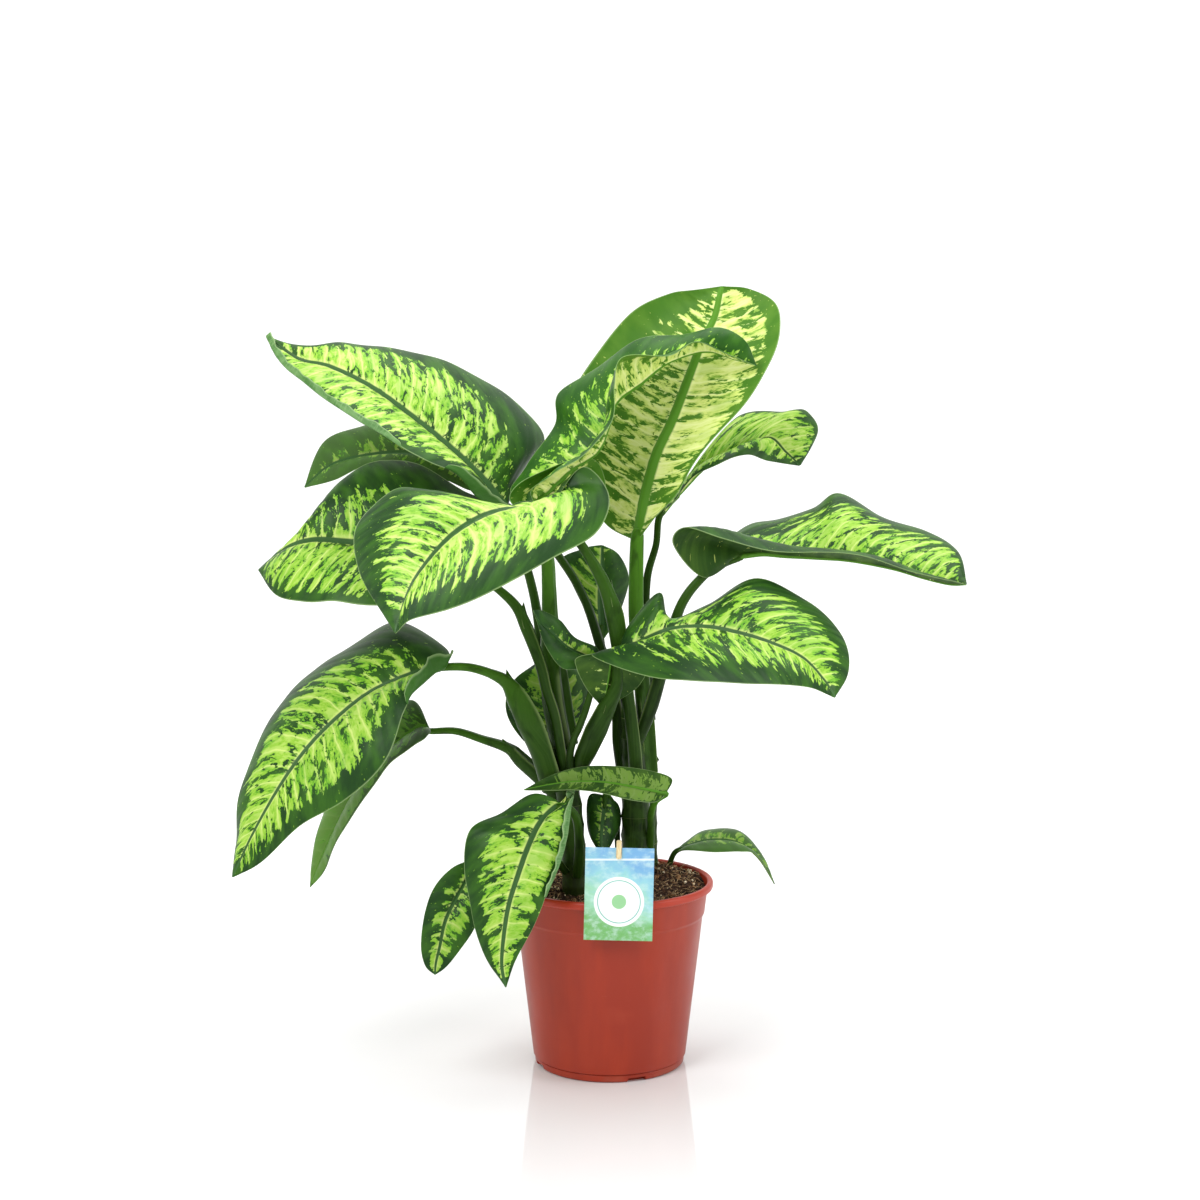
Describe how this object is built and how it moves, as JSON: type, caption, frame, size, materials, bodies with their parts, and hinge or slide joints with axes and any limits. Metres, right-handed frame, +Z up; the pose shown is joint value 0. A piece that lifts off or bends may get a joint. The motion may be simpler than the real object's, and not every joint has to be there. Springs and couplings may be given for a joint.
{
  "type": "potted dieffenbachia",
  "caption": "Bushy dieffenbachia with large arching variegated leaves on short canes, in a tapered round plastic nursery pot of soil with a clipped hang tag.",
  "frame": {"origin": "middle of the pot's underside, on the surface that the pot stands on", "axes": "+Z up, -Y towards the front that shows the hang tag, +X to the viewer's right seen from the front"},
  "size_m": [0.7341, 0.4179, 0.8063],
  "materials": {
    "pot_plastic": "satin",
    "soil": "matte",
    "cane": "satin",
    "leaf": "satin",
    "card": "satin",
    "peg_wood": "matte"
  },
  "bodies": {
    "root": {"pot": "pot_plastic", "soil": "soil", "cane_left": "cane", "cane_right": "cane", "cane_right_back": "cane", "leaf_upper_left": "leaf", "leaf_upper_left_behind": "leaf", "leaf_mid_left": "leaf", "leaf_front_left": "leaf", "leaf_folded_top": "leaf", "leaf_top": "leaf", "leaf_right_curled": "leaf", "leaf_right_upper": "leaf", "leaf_right_front": "leaf", "leaf_centre_small": "leaf", "leaf_low_left": "leaf", "leaf_low_left_behind": "leaf", "leaf_pot_front": "leaf", "leaf_pot_left": "leaf", "leaf_crossing": "leaf", "leaf_hanging_small": "leaf", "leaf_soil_right": "leaf", "leaf_centre_behind": "leaf", "leaf_middle_behind": "leaf", "tag_stake": "peg_wood", "tag_card": "card", "tag_peg": "peg_wood"}
  },
  "joints": []
}
